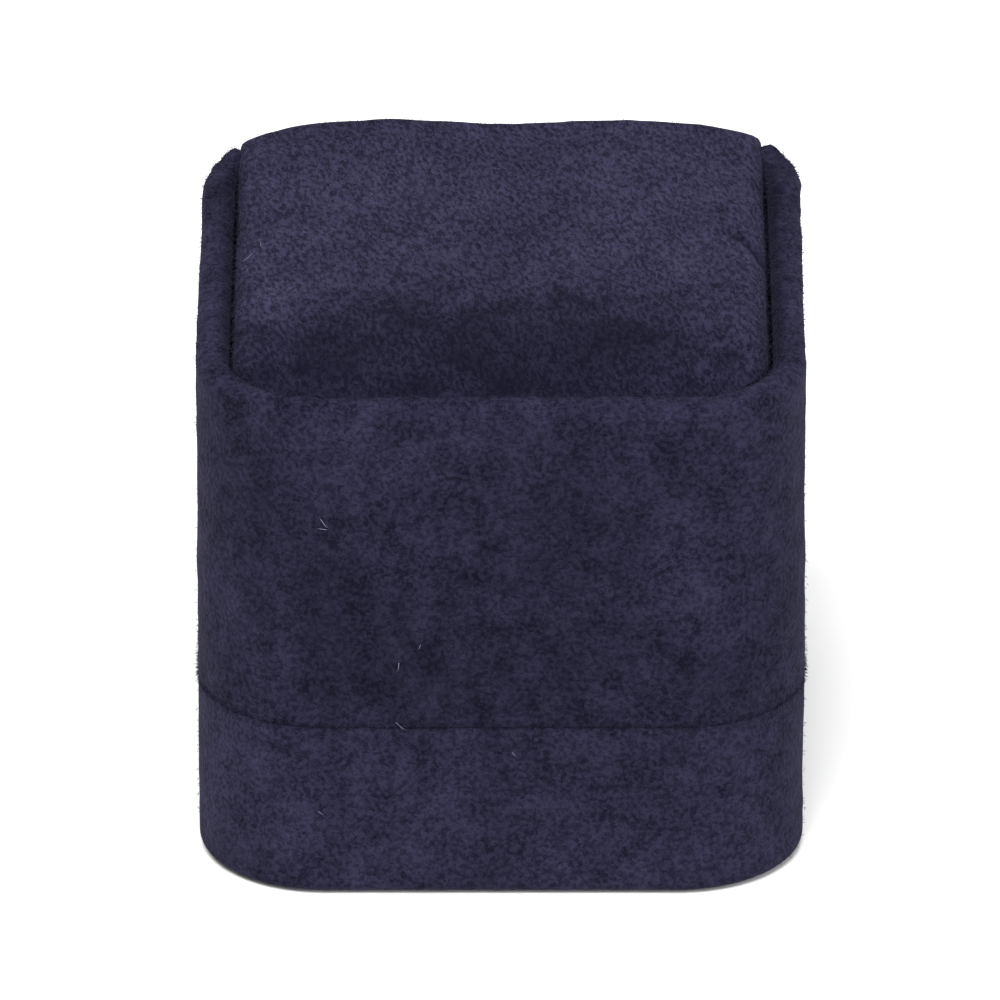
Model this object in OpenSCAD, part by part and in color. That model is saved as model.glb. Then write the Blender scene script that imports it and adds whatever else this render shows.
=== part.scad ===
// Velvet ring box: a lower tray, an upper wall seated on it, and a padded lid that lies inset
// between the side walls and opens on a small metal hinge along the back wall.
// +X is to the right, +Y to the back, +Z up. The origin is under the middle of the box, on the
// surface that it stands on.

/* [Box] */
// Outside width of the box
box_w = 55; // [53:1:60]
// Outside depth of the box
box_d = 60; // [58:1:66]
// Height to the crown of the lid
box_h = 50.5; // [48:0.5:56]
// Plan radius of the outside corners
corner_r = 11.5; // [10:0.5:13]
// Height of the seam between the lower band and the upper wall
seam_z = 17; // [14:0.5:20]
// How far the rim of the wall lies below the crown of the lid
rim_drop = 1.5; // [1:0.5:3]
// Size of the slanted edge round the bottom
bottom_edge = 1.2; // [1:0.2:2]

/* [Layers] */
// Thickness of the outer velvet with its pile
velvet_t = 0.8; // [0.6:0.1:1]
// Thickness of the stiff walls
board_t = 1.7; // [1.5:0.1:2]
// Thickness of thin fabric: turned-in velvet and lining
lining_t = 0.5; // [0.3:0.1:0.6]
// Thickness of the floor of the tray
floor_t = 1.6; // [1.2:0.1:2]

/* [Lid] */
// Thickness of the padded lid, from its velvet underside to the crown
lid_t = 9.5; // [8:0.5:10]
// Thickness of the stiff board in the lid
lid_board_t = 2; // [1.5:0.5:2.5]
// Depth of the stretch at the front where the lid rounds down
nose_len = 16.5; // [12:0.5:20]
// How far the lid drops over that stretch
nose_drop = 6; // [4:0.5:7]
// Gap between the lid and the walls beside it
lid_gap = 0.35; // [0.3:0.05:0.5]
// Thickness of the padded lining inside the lid
lid_lining_t = 2.3; // [1.5:0.1:2.5]

/* [Hinge] */
// Outside radius of the knuckles
knuckle_r = 1.2; // [1.1:0.1:1.4]
// Radius of the pin
pin_r = 0.5; // [0.4:0.05:0.6]
// Length of one knuckle
knuckle_len = 6; // [5:0.5:6.5]
// Thickness of the sheet metal leaves
leaf_t = 0.5; // [0.4:0.1:0.5]
// Length of the lid leaf along the lid's underside
lid_leaf_len = 14; // [10:1:16]
// Length of the body leaf down the lining
body_leaf_len = 11; // [9:1:13]

/* [Ring pad] */
// Height of the top of the ring pads
pad_top_z = 21; // [19:1:23]
// Height of each ring pad
pad_h = 12; // [10:1:13]
// Gap between the two pads that a ring is pushed into
slot_w = 1.4; // [1:0.1:2]
// Thickness of the fabric on the pads
pad_cover_t = 0.6; // [0.4:0.1:0.8]

/* [Hidden] */

$fn = 48;
over = 1;          // how far cutting shapes run past what they cut

navy = [0.19, 0.19, 0.27];
navy_deep = [0.15, 0.15, 0.23];
greyboard = [0.55, 0.53, 0.50];
foam_white = [0.93, 0.92, 0.88];
brass = [0.80, 0.66, 0.38];
steel = [0.68, 0.69, 0.71];

// Layers of the wall, as distances in from the outside of the box
shell_in = velvet_t;
shell_inner_in = velvet_t + board_t;
wall_in = shell_inner_in + lining_t;       // inner face of the rim, next to the lid
frame_inner_in = shell_inner_in + board_t;
lining_inner_in = frame_inner_in + lining_t;

// Heights
rim_z = box_h - rim_drop;
lid_z = box_h - lid_t;                     // velvet underside of the lid
ledge_gap = 0.3;
ledge_z = lid_z - ledge_gap;               // top of the inner frame
lid_board_z = lid_z + lining_t;
felt_z = 0.8;                              // top of the felt, and underside of the floor
floor_z = felt_z + floor_t;                // inside of the floor
turn_under_z = 0.2;                        // the turned-under velvet stays clear of the table
turn_under_w = 8;                          // how far velvet is turned under an edge

// Hinge
axis_y = box_d / 2 - knuckle_r - 0.1;
axis_z = lid_z - 0.4;
leaf_gap = 0.9;                            // between the knuckles and the edge under them
back_z = axis_z - knuckle_r - leaf_gap;    // top of the velvet on the back wall
knuckle_count = 5;
knuckle_gap = 0.15;
barrel_len = knuckle_count * knuckle_len;
leaf_w = barrel_len - 2;
channel_r = knuckle_r + 0.4;               // hollow in the lid that clears the knuckles
pin_clearance = 0.04;
lining_inner_y = box_d / 2 - lining_inner_in;
rivet_r = 0.6;
rivet_head_r = 1.3;
rivet_head_t = 0.5;
rivet_x = 9;
rivet_clearance = 0.05;
body_rivet_z = back_z - 6.5;
lid_rivet_y = axis_y - 9;
spring_w = 8;
spring_t = 0.4;
spring_len = 9;
spring_bend_r = 1.2;
leaf_recess_gap = 0.4;                     // round the lid leaf, where the lining is hollowed
lid_lining_gap = 0.9;                      // between the lid's lining and the box's own

// Ring pads
platform_t = 1;
platform_z = pad_top_z - pad_h - platform_t;
pad_side_gap = 0.3;
pad_roll_r = 4;                            // rounding along the top edges of a pad
pad_w = box_w - 2 * lining_inner_in - 2 * pad_side_gap;
pad_d = (box_d - 2 * lining_inner_in - 2 * pad_side_gap - slot_w) / 2;
riser_w = 34;
riser_d = 38;
riser_t = 1.5;

// ---- Plan shapes ----

// Rectangle with rounded corners, centred on the origin
module rounded_plan(w, d, r) {
    square([w - 2 * r, d], center = true);
    square([w, d - 2 * r], center = true);
    for (x = [-1, 1], y = [-1, 1])
        translate([x * (w / 2 - r), y * (d / 2 - r)])
            circle(r);
}

// Outline of the box, drawn in by a distance
module box_plan(inset) {
    rounded_plan(box_w - 2 * inset, box_d - 2 * inset, corner_r - inset);
}

// Outline of the lid, drawn in by a distance: it fits between the walls at the front and the
// sides, and follows the outline of the box itself at the back
module lid_plan(inset) {
    edge = wall_in + lid_gap + inset;
    box_plan(edge);
    intersection() {
        box_plan(inset);
        translate([-(box_w / 2 - edge), 0])
            square([box_w - 2 * edge, box_d / 2]);
    }
}

// Wall between two outlines, from one height to another
module ring_wall(outer_in, inner_in, z0, z1) {
    translate([0, 0, z0])
        linear_extrude(z1 - z0)
            difference() {
                box_plan(outer_in);
                box_plan(inner_in);
            }
}

// Space over the back wall for the lid, from a height up: it is drawn in from the sides of the
// box by a distance, and runs further forward by ahead
module back_notch(z, inset, ahead = 0) {
    half = box_w / 2 - inset;
    translate([-half, axis_y - 8 - ahead, z])
        cube([2 * half, box_d, box_h]);
}

// ---- Lower tray ----

// Solid block of the tray with a slanted edge round its bottom
module tray_block(inset, z0, z1) {
    hull() {
        translate([0, 0, z0 + bottom_edge])
            linear_extrude(z1 - z0 - bottom_edge)
                box_plan(inset);
        translate([0, 0, z0])
            linear_extrude(z1 - z0)
                box_plan(inset + bottom_edge);
    }
}

module base_shell() {
    color(greyboard)
        difference() {
            tray_block(shell_in, felt_z, seam_z - velvet_t);
            translate([0, 0, floor_z])
                linear_extrude(seam_z)
                    box_plan(shell_inner_in);
        }
}

module base_velvet() {
    color(navy)
        difference() {
            tray_block(0, turn_under_z, seam_z);
            tray_block(shell_in, felt_z, seam_z - velvet_t);
            translate([0, 0, felt_z + over])
                linear_extrude(seam_z)
                    box_plan(shell_inner_in);
            translate([0, 0, -over])
                linear_extrude(2 * over)
                    box_plan(turn_under_w);
        }
}

module bottom_felt() {
    color(navy_deep)
        linear_extrude(felt_z)
            box_plan(turn_under_w);
}

// ---- Upper wall ----

module wall_shell() {
    color(greyboard)
        difference() {
            ring_wall(shell_in, shell_inner_in, seam_z + velvet_t, rim_z - velvet_t);
            back_notch(back_z - velvet_t, shell_inner_in, lining_t);
        }
}

// Velvet down the outside, over the rim and down to the ledge inside, and turned under the wall
module wall_velvet() {
    color(navy)
        difference() {
            union() {
                difference() {
                    ring_wall(0, shell_inner_in, seam_z, rim_z);
                    back_notch(back_z, wall_in);
                }
                difference() {
                    ring_wall(shell_in, wall_in, ledge_z, rim_z);
                    back_notch(back_z, wall_in);
                }
            }
            wall_shell();
        }
}

// ---- Inside of the box ----

module inner_frame() {
    color(greyboard)
        difference() {
            ring_wall(shell_inner_in, frame_inner_in, floor_z, ledge_z);
            back_notch(back_z, 0);
            body_rivet_holes();
        }
}

module inner_lining() {
    color(navy_deep)
        difference() {
            ring_wall(frame_inner_in, lining_inner_in, platform_z, ledge_z);
            back_notch(back_z, 0);
            body_rivet_holes();
        }
}

module pad_platform() {
    color(greyboard)
        translate([0, 0, platform_z])
            linear_extrude(platform_t)
                box_plan(lining_inner_in + pad_side_gap / 2);
}

module platform_riser() {
    color(greyboard)
        translate([0, 0, floor_z])
            linear_extrude(platform_z - floor_z)
                difference() {
                    square([riser_w, riser_d], center = true);
                    square([riser_w - 2 * riser_t, riser_d - 2 * riser_t], center = true);
                }
}

// Side view of a pad: flat below, rounded along both top edges
module pad_profile(inset) {
    r = pad_roll_r - inset;
    w = pad_d - 2 * inset;
    h = pad_h - inset;
    translate([-w / 2, 0])
        square([w, h - r]);
    translate([-w / 2 + r, 0])
        square([w - 2 * r, h]);
    for (side = [-1, 1])
        translate([side * (w / 2 - r), h - r])
            circle(r);
}

// One pad; side is -1 for the front pad and 1 for the rear one
module pad_block(side, inset) {
    intersection() {
        translate([-pad_w / 2 + inset, side * (slot_w + pad_d) / 2, pad_top_z - pad_h])
            rotate([90, 0, 90])
                linear_extrude(pad_w - 2 * inset)
                    pad_profile(inset);
        translate([0, 0, pad_top_z - pad_h])
            linear_extrude(pad_h)
                box_plan(lining_inner_in + pad_side_gap + inset);
    }
}

module pad_cover(side) {
    difference() {
        pad_block(side, 0);
        pad_block(side, pad_cover_t);
    }
}

module front_pad_foam() {
    color(foam_white)
        pad_block(-1, pad_cover_t);
}

module front_pad_cover() {
    color(navy)
        pad_cover(-1);
}

module rear_pad_foam() {
    color(foam_white)
        pad_block(1, pad_cover_t);
}

module rear_pad_cover() {
    color(navy)
        pad_cover(1);
}

// ---- Hinge ----

// Cylinder along the hinge axis, from one x to another
module along_axis(r, x0, x1) {
    translate([x0, axis_y, axis_z])
        rotate([0, 90, 0])
            cylinder(r = r, h = x1 - x0);
}

// Knuckles of one leaf: every second one, from the first or the second on
module knuckles(first) {
    for (i = [first : 2 : knuckle_count - 1])
        along_axis(knuckle_r, -barrel_len / 2 + i * knuckle_len + knuckle_gap / 2,
                   -barrel_len / 2 + (i + 1) * knuckle_len - knuckle_gap / 2);
}

// Space kept free round the other leaf's knuckles
module knuckle_clearance(first) {
    for (i = [first : 2 : knuckle_count - 1])
        along_axis(channel_r, -barrel_len / 2 + i * knuckle_len - knuckle_gap / 2,
                   -barrel_len / 2 + (i + 1) * knuckle_len + knuckle_gap / 2);
}

module pin_hole(clearance) {
    along_axis(pin_r + clearance, -barrel_len, barrel_len);
}

// Holes through frame, lining, leaf and spring, drilled from the back
module body_rivet_holes() {
    for (x = [-rivet_x, 0, rivet_x])
        translate([x, lining_inner_y + board_t + lining_t, body_rivet_z])
            rotate([90, 0, 0])
                translate([0, 0, -over / 4])
                    cylinder(r = rivet_r + rivet_clearance,
                             h = board_t + lining_t + leaf_t + spring_t + over);
}

module lid_rivet_holes() {
    for (x = [-rivet_x, rivet_x])
        translate([x, lid_rivet_y, lid_board_z - leaf_t - over])
            cylinder(r = rivet_r + rivet_clearance, h = lid_board_t + leaf_t + 2 * over);
}

// Plate down the lining, bent over the back wall and up to the outer and middle knuckles
module hinge_body_leaf() {
    color(brass)
        difference() {
            union() {
                translate([-leaf_w / 2, lining_inner_y - leaf_t, back_z + leaf_t - body_leaf_len])
                    cube([leaf_w, leaf_t, body_leaf_len]);
                translate([-leaf_w / 2, lining_inner_y - leaf_t, back_z])
                    cube([leaf_w, axis_y + leaf_t / 2 - lining_inner_y + leaf_t, leaf_t]);
                difference() {
                    translate([-leaf_w / 2, axis_y - leaf_t / 2, back_z])
                        cube([leaf_w, leaf_t, knuckle_r + leaf_gap]);
                    knuckle_clearance(1);
                }
                knuckles(0);
            }
            pin_hole(0);
            body_rivet_holes();
        }
}

// Plate along the underside of the lid board, joined to the knuckles between
module hinge_lid_leaf() {
    color(brass)
        difference() {
            union() {
                difference() {
                    translate([-leaf_w / 2, axis_y - lid_leaf_len, lid_board_z - leaf_t])
                        cube([leaf_w, lid_leaf_len, leaf_t]);
                    knuckle_clearance(0);
                }
                knuckles(1);
            }
            pin_hole(pin_clearance);
            lid_rivet_holes();
        }
}

module hinge_pin() {
    color(brass)
        along_axis(pin_r, -barrel_len / 2, barrel_len / 2);
}

// Flat spring on the body leaf, with its upper end bent forward under the lid leaf
module snap_spring() {
    front_y = lining_inner_y - leaf_t;
    top_z = back_z - spring_bend_r;
    color(steel)
        difference() {
            union() {
                translate([-spring_w / 2, front_y - spring_t, top_z - spring_len])
                    cube([spring_w, spring_t, spring_len]);
                translate([-spring_w / 2, front_y - spring_bend_r, top_z])
                    rotate([90, 0, 90])
                        linear_extrude(spring_w)
                            intersection() {
                                difference() {
                                    circle(spring_bend_r);
                                    circle(spring_bend_r - spring_t);
                                }
                                square(spring_bend_r);
                            }
            }
            body_rivet_holes();
        }
}

// Rivet along +Z from its head's underside at the origin
module rivet(grip) {
    translate([0, 0, -rivet_head_t])
        cylinder(r = rivet_head_r, h = rivet_head_t);
    cylinder(r = rivet_r, h = grip);
}

module body_rivets() {
    color(brass)
        for (x = [-rivet_x, 0, rivet_x])
            let (stack = leaf_t + (x == 0 ? spring_t : 0))
                translate([x, lining_inner_y - stack, body_rivet_z])
                    rotate([-90, 0, 0])
                        rivet(stack + lining_t + board_t);
}

module lid_rivets() {
    color(brass)
        for (x = [-rivet_x, rivet_x])
            translate([x, lid_rivet_y, lid_board_z - leaf_t])
                rivet(leaf_t + lid_board_t);
}

// ---- Lid ----

// Side view of the lid: flat from the back, then a quarter ellipse down to the front
module lid_profile(inset) {
    front_y = -box_d / 2 + wall_in + lid_gap;
    steps = 14;
    nose = [for (i = [0 : steps])
        let (a = 90 * i / steps)
            [front_y + nose_len * (1 - sin(a)), box_h - nose_drop * (1 - cos(a)) - inset]];
    polygon(concat([[box_d / 2, lid_z], [box_d / 2, box_h - inset]], nose, [[front_y, lid_z]]));
}

// Whole padded lid, drawn in by a distance all round and on top
module lid_block(inset, z0) {
    intersection() {
        translate([-box_w / 2, 0, 0])
            rotate([90, 0, 90])
                linear_extrude(box_w)
                    lid_profile(inset);
        translate([0, 0, z0])
            linear_extrude(box_h)
                lid_plan(inset);
    }
}

// Hollow along the back edge of the lid that the hinge barrel turns in
module hinge_channel() {
    along_axis(channel_r, -barrel_len / 2 - lid_gap, barrel_len / 2 + lid_gap);
}

module lid_board() {
    color(greyboard)
        difference() {
            intersection() {
                lid_block(velvet_t, lid_board_z);
                translate([-box_w, -box_d, lid_board_z])
                    cube([2 * box_w, 2 * box_d, lid_board_t]);
            }
            hinge_channel();
            lid_rivet_holes();
        }
}

module lid_foam() {
    color(foam_white)
        lid_block(velvet_t, lid_board_z + lid_board_t);
}

module lid_velvet() {
    color(navy)
        difference() {
            lid_block(0, lid_z);
            lid_block(velvet_t, lid_board_z);
            translate([0, 0, lid_z - over])
                linear_extrude(lid_board_z - lid_z + 2 * over)
                    lid_lining_plan(0);
            hinge_channel();
            translate([-leaf_w / 2 - lid_gap, axis_y - lid_leaf_len, lid_z - over])
                cube([leaf_w + 2 * lid_gap, lid_leaf_len, lid_board_z - lid_z + over]);
        }
}

// Outline of the padded lining: well inside the frame that it closes over
module lid_lining_plan(inset) {
    box_plan(lining_inner_in + lid_lining_gap + inset);
}

// Room in the lining for the lid leaf and the heads of its rivets
module lid_leaf_recess() {
    translate([-leaf_w / 2 - leaf_recess_gap, axis_y - lid_leaf_len - leaf_recess_gap,
               lid_board_z - leaf_t - rivet_head_t - leaf_recess_gap / 2])
        cube([leaf_w + 2 * leaf_recess_gap, box_d, lid_lining_t]);
}

module lid_lining_pad() {
    color(foam_white)
        difference() {
            translate([0, 0, lid_board_z - lid_lining_t + lining_t])
                linear_extrude(lid_lining_t - lining_t)
                    lid_lining_plan(lining_t);
            lid_leaf_recess();
        }
}

module lid_lining_cover() {
    color(navy)
        difference() {
            translate([0, 0, lid_board_z - lid_lining_t])
                linear_extrude(lid_lining_t)
                    lid_lining_plan(0);
            translate([0, 0, lid_board_z - lid_lining_t + lining_t])
                linear_extrude(lid_lining_t)
                    lid_lining_plan(lining_t);
            lid_leaf_recess();
        }
}

base_shell();
base_velvet();
bottom_felt();
wall_shell();
wall_velvet();
inner_frame();
inner_lining();
pad_platform();
platform_riser();
front_pad_foam();
front_pad_cover();
rear_pad_foam();
rear_pad_cover();
hinge_body_leaf();
hinge_pin();
snap_spring();
body_rivets();
lid_board();
lid_foam();
lid_velvet();
lid_lining_pad();
lid_lining_cover();
hinge_lid_leaf();
lid_rivets();
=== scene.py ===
"""Navy velvet ring box, closed, on a pale floor.

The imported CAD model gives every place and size. Shapes are worked out in millimetres and become
metres when a mesh is made. X is to the right, Y to the back and Z up.
"""

import math
from itertools import product
from types import SimpleNamespace

import bmesh
import bpy
import numpy as np
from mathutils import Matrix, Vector


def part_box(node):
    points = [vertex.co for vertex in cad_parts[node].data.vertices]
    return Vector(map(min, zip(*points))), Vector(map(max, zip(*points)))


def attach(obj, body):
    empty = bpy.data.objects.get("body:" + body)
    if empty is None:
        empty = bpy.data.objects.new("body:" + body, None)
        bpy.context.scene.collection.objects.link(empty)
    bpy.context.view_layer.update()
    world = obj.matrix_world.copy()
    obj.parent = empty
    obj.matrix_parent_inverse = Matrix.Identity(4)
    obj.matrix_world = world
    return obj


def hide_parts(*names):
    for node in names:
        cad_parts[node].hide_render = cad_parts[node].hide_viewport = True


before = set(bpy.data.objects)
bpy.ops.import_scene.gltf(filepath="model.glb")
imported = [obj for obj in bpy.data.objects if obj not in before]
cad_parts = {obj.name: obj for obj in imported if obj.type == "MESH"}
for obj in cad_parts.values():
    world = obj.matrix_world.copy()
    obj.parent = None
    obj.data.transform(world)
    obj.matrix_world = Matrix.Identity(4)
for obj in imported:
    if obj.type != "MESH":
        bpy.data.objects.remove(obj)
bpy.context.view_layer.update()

MM = 0.001
SEED = 20


def node_box(node):
    """Lowest and highest corner of a CAD node, in millimetres."""
    low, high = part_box(node)
    return np.array(low) / MM, np.array(high) / MM


wall_low, wall_high = node_box("wall_velvet")
base_low = node_box("base_velvet")[0]
lid_low, lid_high = node_box("lid_velvet")
frame_high = node_box("inner_frame")[1]
lining_low, lining_high = node_box("inner_lining")
body_leaf_low = node_box("hinge_body_leaf")[0]
board_high = node_box("lid_board")[1]
lid_lining_low, lid_lining_high = node_box("lid_lining_cover")

HALF_W = wall_high[0]
HALF_D = wall_high[1]
CORNER_R = 11.5                    # plan radius of the box's outside corners
CORE = np.array([HALF_W - CORNER_R, HALF_D - CORNER_R])
BACK_R = 9.5                       # radius that the velvet's fullness gives the back corners at the top
RIM_Z = wall_high[2]
SEAM_Z = wall_low[2]
WALL_T = 3.0                       # rim thickness, velvet on both sides
LID_HALF = lid_high[0]
LID_INSET = HALF_W - LID_HALF
LID_TOP = lid_high[2]
LID_UNDER = lid_low[2]
LEDGE_Z = frame_high[2]
BODY_LEAF_LEN = 11.0               # hinge leaf on the back wall, and its thickness, as in the CAD
LEAF_T = 0.5
BACK_Z = body_leaf_low[2] + BODY_LEAF_LEN - LEAF_T     # top of the back wall, under the lid
LINING_IN = HALF_W - lining_high[0] + 0.5              # from the outside to the inside of the lining
NOTCH_Y = 20.7                     # where the side walls stop and the low back wall starts
FABRIC_T = 0.7
STEP = 0.34                        # spacing of the vertices in the velvet


# ---- Numbers ----

def smooth(value, start, end):
    """Rises smoothly from 0 to 1 as value goes from start to end."""
    t = np.clip((value - start) / (end - start), 0, 1)
    return t * t * (3 - 2 * t)


def mixed(a, b, t):
    """a where t is 0, b where it is 1."""
    return a * (1 - t) + b * t


def noise(points, cell, seed):
    """Smooth random values from -1 to 1 that change over the cell size."""
    table = np.random.default_rng(seed).uniform(-1, 1, 4096)
    cells = np.asarray(points) / cell
    whole = np.floor(cells).astype(np.int64)
    part = cells - whole
    part = part * part * (3 - 2 * part)
    total = np.zeros(part.shape[:-1])
    for corner in product((0, 1), repeat=3):
        key = whole + corner
        index = (key[..., 0] * 73856093 ^ key[..., 1] * 19349663 ^ key[..., 2] * 83492791) & 4095
        weight = np.prod(np.where(corner, part, 1 - part), axis=-1)
        total += table[index] * weight
    return total


def steps_for(length):
    return max(2, round(length / STEP))


# ---- Outlines in plan ----

def box_columns():
    """Points round the box, evenly spaced: where each one's straight or corner centre lies, and
    the direction outwards. The outline drawn in by d is core + normal * (CORNER_R - d)."""
    core, normal = [], []
    corners = [(1, -1, -90), (1, 1, 0), (-1, 1, 90), (-1, -1, 180)]
    for i, (x, y, start) in enumerate(corners):
        here = CORE * (x, y)
        for angle in np.radians(start + 90 * np.linspace(0, 1, steps_for(CORNER_R * math.pi / 2) + 1)):
            core.append(here)
            normal.append((math.cos(angle), math.sin(angle)))
        after = CORE * corners[(i + 1) % 4][:2]
        count = steps_for(np.abs(after - here).sum())
        for t in np.arange(1, count) / count:
            core.append(here + (after - here) * t)
            normal.append(normal[-1])
    return np.array(core), np.array(normal)


def round_columns(core, normal, inset, height):
    """Vertices of a ring: inset and height hold a row of values for each column."""
    plan = core[:, None] + normal[:, None] * (CORNER_R - inset)[..., None]
    return np.concatenate([plan, height[..., None]], axis=-1)


class Rows:
    """Rows of vertices round the box, each with an inset from the outline and a height."""

    def __init__(self, columns):
        self.columns = columns
        self.inset, self.z = [], []

    def add(self, inset, z):
        self.inset.append(np.broadcast_to(inset, self.columns))
        self.z.append(np.broadcast_to(z, self.columns))

    def grids(self):
        return np.stack(self.inset, 1), np.stack(self.z, 1)


def arc(centre, radius, start, end, count):
    """Points (inset, z) on part of a circle, with angles in degrees."""
    angle = np.radians(np.linspace(start, end, count))
    return np.stack([centre[0] + radius * np.cos(angle), centre[1] + radius * np.sin(angle)], -1)


def line(start, end, spacing=STEP):
    """Points (inset, z) from start up to but not including end."""
    start, end = np.array(start, float), np.array(end, float)
    count = max(1, round(np.abs(end - start).sum() / spacing))
    return start + (end - start) * (np.arange(count) / count)[:, None]


def plan_grid(half, front, back, inset):
    """Grid of points, left to right and front to back, over a plan with rounded corners that is
    drawn in by a distance. front and back hold x, y and the radius of the corners there."""
    across = np.linspace(-1, 1, steps_for(2 * half))
    (front_x, front_y, front_r), (back_x, back_y, back_r) = front, back
    front_angle = np.linspace(math.pi / 2, 0, steps_for(front_r * math.pi / 2))
    back_angle = np.linspace(0, math.pi / 2, steps_for(back_r * math.pi / 2))
    straight = np.linspace(front_y, back_y, steps_for(back_y - front_y))[1:-1]
    y = np.concatenate([front_y - (front_r - inset) * np.sin(front_angle), straight,
                        back_y + (back_r - inset) * np.sin(back_angle)])
    reach = np.concatenate([front_x + (front_r - inset) * np.cos(front_angle),
                            np.full(len(straight), half - inset),
                            back_x + (back_r - inset) * np.cos(back_angle)])
    return np.stack(np.broadcast_arrays(across[:, None] * np.minimum(reach, half - inset), y), -1)


def edge_of(grid):
    """The grid's border, once round."""
    return np.concatenate([grid[:-1, 0], grid[-1, :-1], grid[:0:-1, -1], grid[0, :0:-1]])


def raised(plan, z):
    """Points in plan with their heights."""
    return np.concatenate([plan, np.broadcast_to(z, plan.shape[:-1])[..., None]], -1)


# ---- Meshes ----

def make_piece(name, vertices, faces):
    """A closed mesh object from vertices in millimetres."""
    mesh = bpy.data.meshes.new(name)
    mesh.from_pydata((np.asarray(vertices) * MM).tolist(), [], [tuple(f) for f in faces])
    made = bmesh.new()
    made.from_mesh(mesh)
    bmesh.ops.recalc_face_normals(made, faces=made.faces)
    made.to_mesh(mesh)
    made.free()
    mesh.shade_smooth()
    piece = bpy.data.objects.new(name, mesh)
    bpy.context.scene.collection.objects.link(piece)
    return piece


def ring_faces(columns, rows):
    """Faces of a grid that closes on itself both ways, as a tyre does."""
    column, row = np.meshgrid(np.arange(columns), np.arange(rows), indexing="ij")
    after, above = (column + 1) % columns, (row + 1) % rows
    return np.stack([column * rows + row, after * rows + row,
                     after * rows + above, column * rows + above], -1).reshape(-1, 4)


def closed_form(name, face, rows, back):
    """A closed piece: two grids of one shape, joined by rows of points round their borders. Its
    vertices are the face's, then the rows', then the back's."""
    wide, deep = face.shape[:2]
    cell = np.arange(wide * deep).reshape(wide, deep)
    quads = np.stack([cell[:-1, :-1], cell[1:, :-1], cell[1:, 1:], cell[:-1, 1:]], -1).reshape(-1, 4)
    border = edge_of(cell)
    back_start = wide * deep + len(rows) * len(border)
    loops = [border]
    loops += [wide * deep + i * len(border) + np.arange(len(border)) for i in range(len(rows))]
    loops += [border + back_start]
    faces = [quads, quads + back_start]
    for a, b in zip(loops, loops[1:]):
        faces.append(np.stack([a, np.roll(a, -1), np.roll(b, -1), b], -1))
    vertices = np.concatenate([face.reshape(-1, 3), *rows, back.reshape(-1, 3)])
    return make_piece(name, vertices, np.concatenate(faces))


def coordinates(piece):
    values = np.empty(len(piece.data.vertices) * 3)
    piece.data.vertices.foreach_get("co", values)
    return values.reshape(-1, 3) / MM


def normals(piece):
    values = np.empty(len(piece.data.vertices) * 3)
    piece.data.vertex_normals.foreach_get("vector", values)
    return values.reshape(-1, 3)


def move(piece, offsets):
    moved = (coordinates(piece) + offsets) * MM
    piece.data.vertices.foreach_set("co", moved.ravel())
    piece.data.update()


def attribute(piece, name, values):
    layer = piece.data.attributes.new(name, "FLOAT", "POINT")
    layer.data.foreach_set("value", np.asarray(values, np.float32))


# ---- Velvet surface ----

# Where the nap has been brushed another way, and two places of painted shade: centre, size along
# each axis, and how much darker it looks, or lighter if negative
BRUSHED_AND_SHADED = [
    ((0, -30, 27), (17, 8, 17), 0.30),
    ((-22, -30, 41), (4, 9, 6.5), 0.34),
    ((-16, -30, 28), (3.5, 8, 7), 0.32),
    ((-9, -30, 21.5), (8, 8, 4), 0.38),
    ((7, -30, 38), (5, 8, 9), 0.36),
    ((10, -30, 24), (4.5, 8, 3.5), 0.24),
    ((7, -30, 16.5), (9, 8, 2.2), -0.16),
    ((16, -30, 43), (2.5, 8, 4), 0.22),
    ((19, -30, 21), (2.4, 6, 3.5), 0.40),
    ((-24.5, -27, 27), (3, 9, 6), -0.20),
    ((-15, -30, 9), (1.5, 8, 7), 0.18),
    ((15.5, -30, 34), (3, 8, 5), -0.24),
    ((-6.5, -30, 33), (3, 8, 4), -0.22),
    ((-2, -30, 27.5), (3, 8, 3), -0.22),
    ((0.5, 1, 50), (5, 11, 5), 0.20),
    ((14, -9, 50), (6, 4, 5), 0.28),
    ((4, -9, 50), (6, 5, 5), 0.20),
    ((-18, -12, 50), (6, 7, 5), -0.22),
    ((-14, -22, 46), (3, 4, 6), 0.32),
    ((6, -22, 46), (4, 4, 6), 0.32),
    ((-28, 0, 45), (4, 24, 8), -0.50),
    # These two are painted shade in the groove where the side walls end beside the lid's back corners,
    # not brushed nap.
    ((-27, 17, 49), (3, 2.5, 4), 0.35),
    ((26, 25.5, 49), (1.8, 2.0, 3), 0.35),
    ((-24, -27, 9), (6, 9, 7), -0.24),
]


def nap_and_shade(points, level):
    """How light the pile looks at each point, from 0 in its dark depth to 1 at its tips: about level,
    which carries the painted shade and highlight that callers give, with clouds, streaks and brushed
    patches, two of them painted shade."""
    streaks = points * (1, 1, 0.45)
    tone = (1 + 0.15 * noise(streaks, 7, SEED + 5) + 0.15 * noise(streaks, 3.2, SEED + 6)
            + 0.10 * noise(points, 1.5, SEED + 7))
    for centre, size, darker in BRUSHED_AND_SHADED:
        tone *= 1 - darker * np.exp(-(((points - centre) / size) ** 2).sum(-1))
    return level * tone


def pile_height(points):
    """How far the pile stands out at each point: soft unevenness, lumps and tufts."""
    return (0.10 * noise(points, 9, SEED)
            + 0.05 * noise(points, 3.2, SEED + 1)
            + 0.04 * noise(points, 1.3, SEED + 2))


def pile(piece, shown, level):
    """Gives the shown part of a velvet piece its uneven pile, and all of it its nap, with any painted
    shade and highlight that level carries.
    """
    points = coordinates(piece)
    attribute(piece, "nap_and_shade", nap_and_shade(points, level))
    move(piece, normals(piece) * (pile_height(points) * shown)[:, None])


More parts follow.
